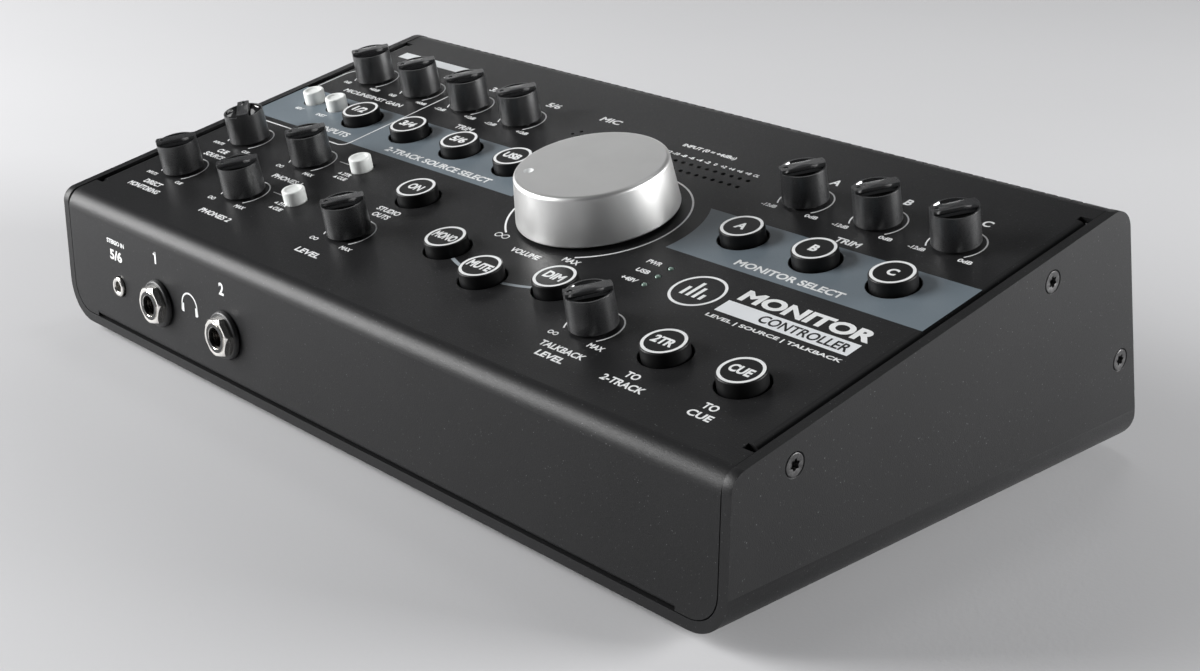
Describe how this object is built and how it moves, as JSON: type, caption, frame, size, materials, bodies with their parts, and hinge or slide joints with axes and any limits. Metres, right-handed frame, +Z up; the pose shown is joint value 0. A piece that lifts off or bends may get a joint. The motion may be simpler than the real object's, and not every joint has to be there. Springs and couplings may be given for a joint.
{
  "type": "desktop monitor controller",
  "caption": "Sloping steel desktop unit that routes and controls studio monitor and headphone levels, with turning knobs and press buttons.",
  "frame": {"origin": "on the floor under the middle of the footprint, between the front sockets' tips and the back edge", "axes": "+Z up, front wall faces -Y, +X to the user's right"},
  "size_m": [0.3, 0.174, 0.0814],
  "materials": {
    "case_paint": "satin black powder coat with a fine sparkle",
    "knob_plastic": "soft dark grey",
    "button_plastic": "black, low gloss",
    "light_plastic": "light grey, soft gloss",
    "satin_aluminium": "satin with a polished chamfer",
    "nickel": "nickel plate",
    "washer_steel": "black washer",
    "board_laminate": "green circuit board",
    "socket_plastic": "black moulded",
    "foot_rubber": "matt",
    "screw_steel": "blackened",
    "lamp_lens": "clear, slightly green"
  },
  "bodies": {
    "enclosure": {"base_tray": "case_paint", "top_shell": "case_paint", "control_board": "board_laminate", "status_light_guide": "lamp_lens", "volume_pot": "nickel", "aux_input_socket": "nickel", "computer_socket": "nickel", "power_inlet": "socket_plastic", "phones_socket_1": "socket_plastic", "phones_washer_1": "washer_steel", "phones_nut_1": "nickel", "mic_line_socket_1": "socket_plastic", "phones_socket_2": "socket_plastic", "phones_washer_2": "washer_steel", "phones_nut_2": "nickel", "mic_line_socket_2": "socket_plastic", "line_socket_row_upper": "socket_plastic", "line_socket_row_lower": "socket_plastic", "foot_front_left": "foot_rubber", "foot_back_left": "foot_rubber", "foot_front_right": "foot_rubber", "foot_back_right": "foot_rubber", "screw_left_front": "screw_steel", "screw_left_top": "screw_steel", "screw_left_rear": "screw_steel", "screw_right_front": "screw_steel", "screw_right_top": "screw_steel", "screw_right_rear": "screw_steel"},
    "gain_knob_1": {"gain_knob_1": "knob_plastic"},
    "gain_knob_2": {"gain_knob_2": "knob_plastic"},
    "trim_knob_line_3_4": {"trim_knob_line_3_4": "knob_plastic"},
    "trim_knob_line_5_6": {"trim_knob_line_5_6": "knob_plastic"},
    "trim_knob_a": {"trim_knob_a": "knob_plastic"},
    "trim_knob_b": {"trim_knob_b": "knob_plastic"},
    "trim_knob_c": {"trim_knob_c": "knob_plastic"},
    "cue_source_knob": {"cue_source_knob": "knob_plastic"},
    "phones_knob_1": {"phones_knob_1": "knob_plastic"},
    "direct_mix_knob": {"direct_mix_knob": "knob_plastic"},
    "phones_knob_2": {"phones_knob_2": "knob_plastic"},
    "studio_level_knob": {"studio_level_knob": "knob_plastic"},
    "talkback_knob": {"talkback_knob": "knob_plastic"},
    "volume_knob": {"volume_knob": "satin_aluminium"},
    "source_button_1_2": {"source_button_1_2": "button_plastic"},
    "source_button_3_4": {"source_button_3_4": "button_plastic"},
    "source_button_5_6": {"source_button_5_6": "button_plastic"},
    "source_button_computer": {"source_button_computer": "button_plastic"},
    "monitor_button_a": {"monitor_button_a": "button_plastic"},
    "monitor_button_b": {"monitor_button_b": "button_plastic"},
    "monitor_button_c": {"monitor_button_c": "button_plastic"},
    "studio_on_button": {"studio_on_button": "button_plastic"},
    "mono_button": {"mono_button": "button_plastic"},
    "mute_button": {"mute_button": "button_plastic"},
    "dim_button": {"dim_button": "button_plastic"},
    "talk_two_track_button": {"talk_two_track_button": "button_plastic"},
    "talk_cue_button": {"talk_cue_button": "button_plastic"},
    "phantom_button": {"phantom_button": "light_plastic"},
    "instrument_button": {"instrument_button": "light_plastic"},
    "phones_source_button_1": {"phones_source_button_1": "light_plastic"},
    "phones_source_button_2": {"phones_source_button_2": "light_plastic"},
    "power_rocker": {"power_rocker": "button_plastic"}
  },
  "joints": [
    {"name": "gain_1_turn", "type": "hinge", "parent": "enclosure", "child": "gain_knob_1", "pos_m": [-0.1278, 0.02894, 0.06915], "axis": [0, 0.2105, -0.9776], "range_deg": [0, 280]},
    {"name": "gain_2_turn", "type": "hinge", "parent": "enclosure", "child": "gain_knob_2", "pos_m": [-0.1017, 0.02894, 0.06915], "axis": [0, 0.2105, -0.9776], "range_deg": [0, 280]},
    {"name": "trim_line_3_4_turn", "type": "hinge", "parent": "enclosure", "child": "trim_knob_line_3_4", "pos_m": [-0.0756, 0.02894, 0.06915], "axis": [0, 0.2105, -0.9776], "range_deg": [0, 280]},
    {"name": "trim_line_5_6_turn", "type": "hinge", "parent": "enclosure", "child": "trim_knob_line_5_6", "pos_m": [-0.0494, 0.02894, 0.06915], "axis": [0, 0.2105, -0.9776], "range_deg": [0, 280]},
    {"name": "trim_a_turn", "type": "hinge", "parent": "enclosure", "child": "trim_knob_a", "pos_m": [0.0724, 0.02894, 0.06915], "axis": [0, 0.2105, -0.9776], "range_deg": [0, 280]},
    {"name": "trim_b_turn", "type": "hinge", "parent": "enclosure", "child": "trim_knob_b", "pos_m": [0.0984, 0.02894, 0.06915], "axis": [0, 0.2105, -0.9776], "range_deg": [0, 280]},
    {"name": "trim_c_turn", "type": "hinge", "parent": "enclosure", "child": "trim_knob_c", "pos_m": [0.1244, 0.02894, 0.06915], "axis": [0, 0.2105, -0.9776], "range_deg": [0, 280]},
    {"name": "cue_source_turn", "type": "hinge", "parent": "enclosure", "child": "cue_source_knob", "pos_m": [-0.125, -0.0261, 0.05731], "axis": [0, 0.2105, -0.9776], "range_deg": [-60, 60]},
    {"name": "phones_1_turn", "type": "hinge", "parent": "enclosure", "child": "phones_knob_1", "pos_m": [-0.089, -0.0261, 0.05731], "axis": [0, 0.2105, -0.9776], "range_deg": [0, 280]},
    {"name": "direct_mix_turn", "type": "hinge", "parent": "enclosure", "child": "direct_mix_knob", "pos_m": [-0.125, -0.05201, 0.05173], "axis": [0, 0.2105, -0.9776], "range_deg": [0, 280]},
    {"name": "phones_2_turn", "type": "hinge", "parent": "enclosure", "child": "phones_knob_2", "pos_m": [-0.089, -0.05201, 0.05173], "axis": [0, 0.2105, -0.9776], "range_deg": [0, 280]},
    {"name": "studio_level_turn", "type": "hinge", "parent": "enclosure", "child": "studio_level_knob", "pos_m": [-0.0334, -0.05201, 0.05173], "axis": [0, 0.2105, -0.9776], "range_deg": [0, 280]},
    {"name": "talkback_turn", "type": "hinge", "parent": "enclosure", "child": "talkback_knob", "pos_m": [0.0724, -0.05201, 0.05173], "axis": [0, 0.2105, -0.9776], "range_deg": [0, 280]},
    {"name": "volume_turn", "type": "hinge", "parent": "enclosure", "child": "volume_knob", "pos_m": [0.0247, -0.00586, 0.06166], "axis": [0, 0.2105, -0.9776], "range_deg": [0, 280]},
    {"name": "source_1_2_press", "type": "slide", "parent": "enclosure", "child": "source_button_1_2", "axis": [0, 0.2105, -0.9776], "range_m": [0, 0.0016], "stiffness_N_per_m": 900, "springref_m": -0.0006},
    {"name": "source_3_4_press", "type": "slide", "parent": "enclosure", "child": "source_button_3_4", "axis": [0, 0.2105, -0.9776], "range_m": [0, 0.0016], "stiffness_N_per_m": 900, "springref_m": -0.0006},
    {"name": "source_5_6_press", "type": "slide", "parent": "enclosure", "child": "source_button_5_6", "axis": [0, 0.2105, -0.9776], "range_m": [0, 0.0016], "stiffness_N_per_m": 900, "springref_m": -0.0006},
    {"name": "source_computer_press", "type": "slide", "parent": "enclosure", "child": "source_button_computer", "axis": [0, 0.2105, -0.9776], "range_m": [0, 0.0016], "stiffness_N_per_m": 900, "springref_m": -0.0006},
    {"name": "monitor_a_press", "type": "slide", "parent": "enclosure", "child": "monitor_button_a", "axis": [0, 0.2105, -0.9776], "range_m": [0, 0.0016], "stiffness_N_per_m": 900, "springref_m": -0.0006},
    {"name": "monitor_b_press", "type": "slide", "parent": "enclosure", "child": "monitor_button_b", "axis": [0, 0.2105, -0.9776], "range_m": [0, 0.0016], "stiffness_N_per_m": 900, "springref_m": -0.0006},
    {"name": "monitor_c_press", "type": "slide", "parent": "enclosure", "child": "monitor_button_c", "axis": [0, 0.2105, -0.9776], "range_m": [0, 0.0016], "stiffness_N_per_m": 900, "springref_m": -0.0006},
    {"name": "studio_on_press", "type": "slide", "parent": "enclosure", "child": "studio_on_button", "axis": [0, 0.2105, -0.9776], "range_m": [0, 0.0016], "stiffness_N_per_m": 900, "springref_m": -0.0006},
    {"name": "mono_press", "type": "slide", "parent": "enclosure", "child": "mono_button", "axis": [0, 0.2105, -0.9776], "range_m": [0, 0.0016], "stiffness_N_per_m": 900, "springref_m": -0.0006},
    {"name": "mute_press", "type": "slide", "parent": "enclosure", "child": "mute_button", "axis": [0, 0.2105, -0.9776], "range_m": [0, 0.0016], "stiffness_N_per_m": 900, "springref_m": -0.0006},
    {"name": "dim_press", "type": "slide", "parent": "enclosure", "child": "dim_button", "axis": [0, 0.2105, -0.9776], "range_m": [0, 0.0016], "stiffness_N_per_m": 900, "springref_m": -0.0006},
    {"name": "talk_two_track_press", "type": "slide", "parent": "enclosure", "child": "talk_two_track_button", "axis": [0, 0.2105, -0.9776], "range_m": [0, 0.0016], "stiffness_N_per_m": 900, "springref_m": -0.0006},
    {"name": "talk_cue_press", "type": "slide", "parent": "enclosure", "child": "talk_cue_button", "axis": [0, 0.2105, -0.9776], "range_m": [0, 0.0016], "stiffness_N_per_m": 900, "springref_m": -0.0006},
    {"name": "phantom_press", "type": "slide", "parent": "enclosure", "child": "phantom_button", "axis": [0, 0.2105, -0.9776], "range_m": [0, 0.0016], "stiffness_N_per_m": 700, "springref_m": -0.0006},
    {"name": "instrument_press", "type": "slide", "parent": "enclosure", "child": "instrument_button", "axis": [0, 0.2105, -0.9776], "range_m": [0, 0.0016], "stiffness_N_per_m": 700, "springref_m": -0.0006},
    {"name": "phones_source_1_press", "type": "slide", "parent": "enclosure", "child": "phones_source_button_1", "axis": [0, 0.2105, -0.9776], "range_m": [0, 0.0016], "stiffness_N_per_m": 700, "springref_m": -0.0006},
    {"name": "phones_source_2_press", "type": "slide", "parent": "enclosure", "child": "phones_source_button_2", "axis": [0, 0.2105, -0.9776], "range_m": [0, 0.0016], "stiffness_N_per_m": 700, "springref_m": -0.0006},
    {"name": "power_rocker_tilt", "type": "hinge", "parent": "enclosure", "child": "power_rocker", "pos_m": [0.122, 0.07719, 0.03512], "axis": [-1, 0, 0], "range_deg": [0, 18]}
  ]
}
